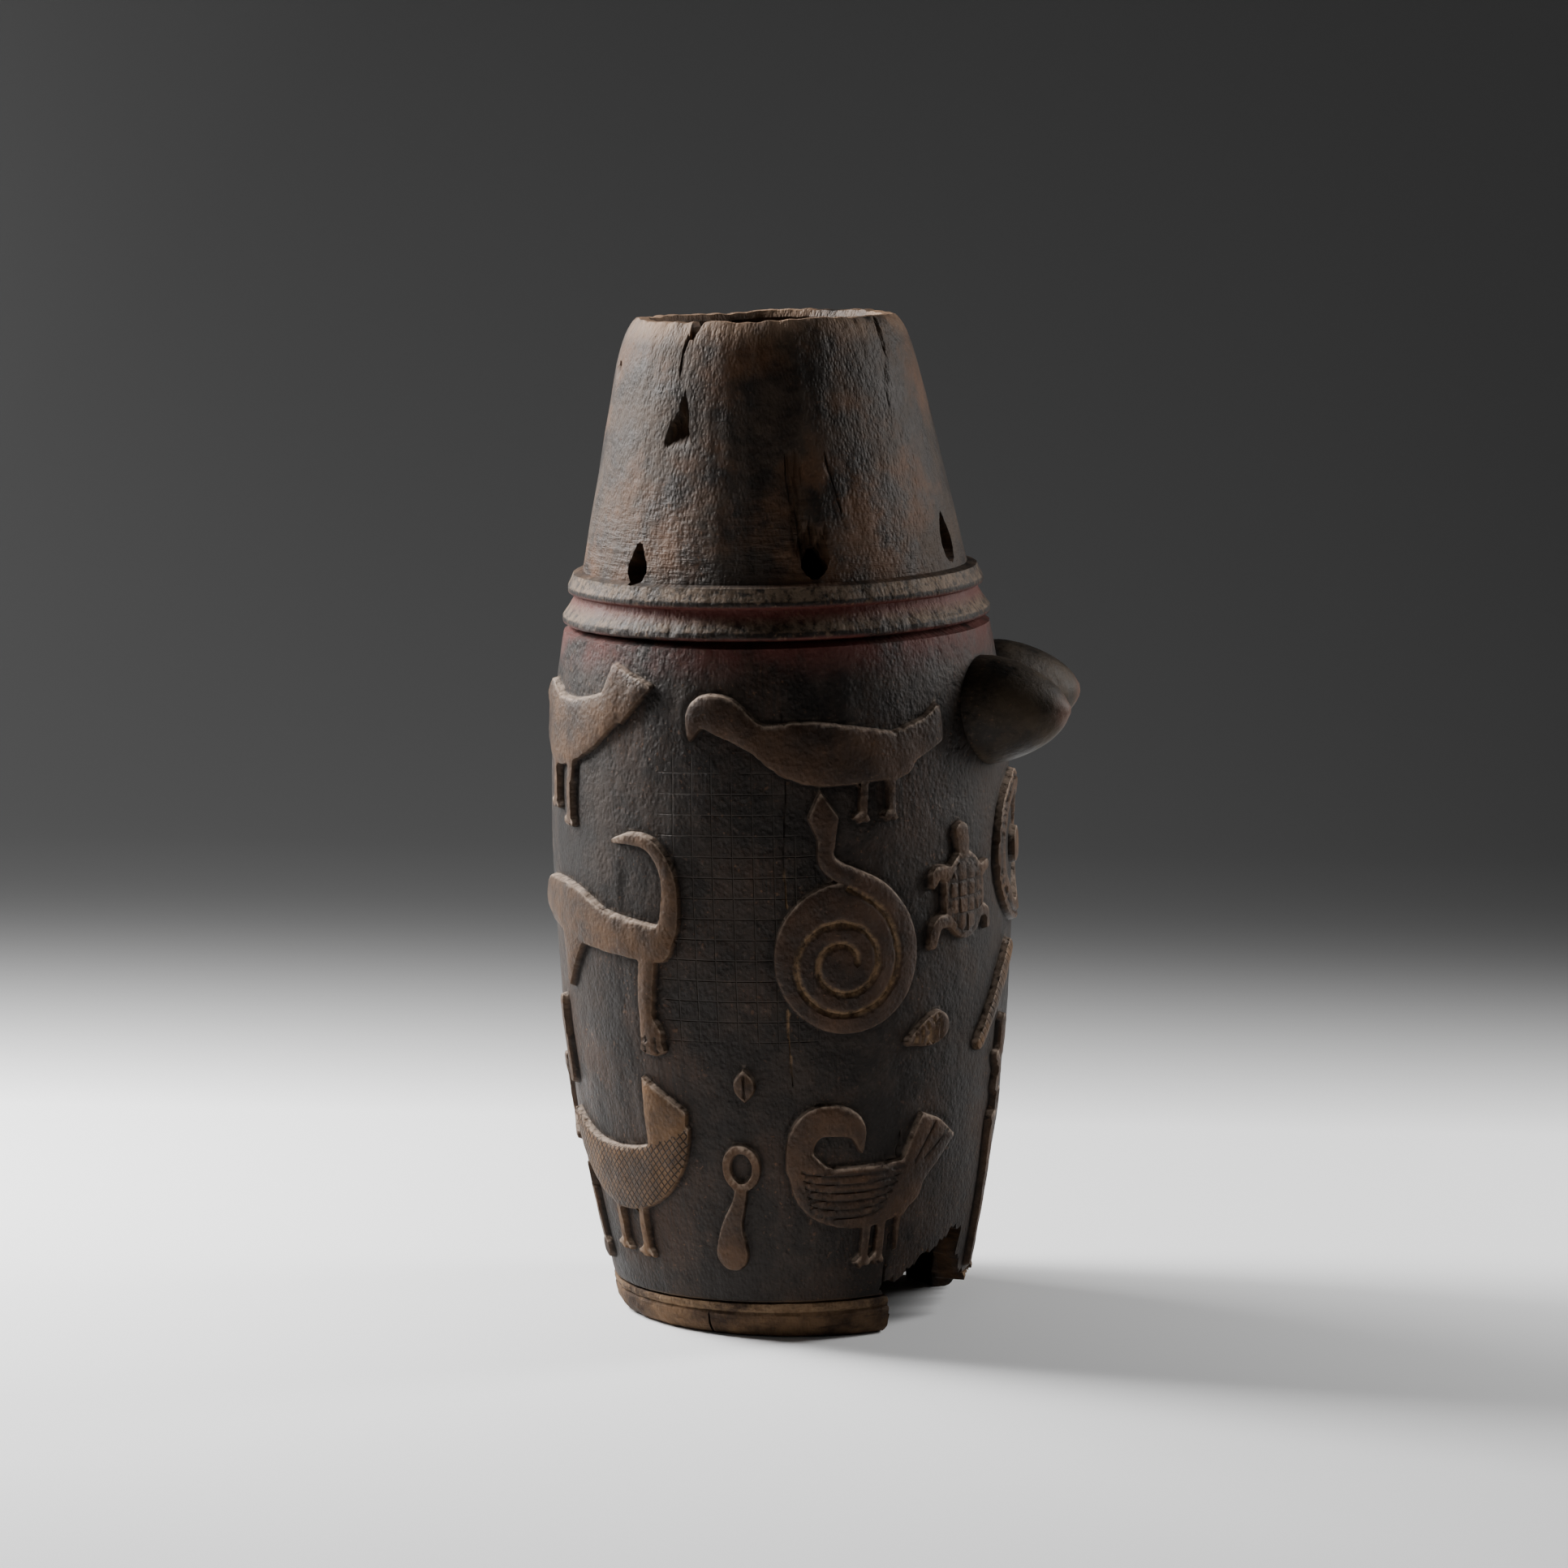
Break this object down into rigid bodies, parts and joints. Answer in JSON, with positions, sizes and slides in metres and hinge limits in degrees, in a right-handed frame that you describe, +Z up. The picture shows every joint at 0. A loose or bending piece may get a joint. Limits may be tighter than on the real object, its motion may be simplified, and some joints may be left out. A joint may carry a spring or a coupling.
{
  "type": "ceremonial ritual drum",
  "caption": "Tall carved wooden drum body with ringed neck, relief figures of birds, beasts and reptiles, a pair of breasts in front, open mouth and broken base.",
  "frame": {"origin": "middle of the underside of the drum's box, on the level foot", "axes": "+Z up along the drum's height, +X towards its front, the side with the breasts"},
  "size_m": [0.6098, 0.5414, 1.1527],
  "materials": {
    "wood": "dark aged hand-carved wood, dull sheen, worn lighter on edges"
  },
  "bodies": {
    "root": {"drum_body": "wood"}
  },
  "joints": []
}
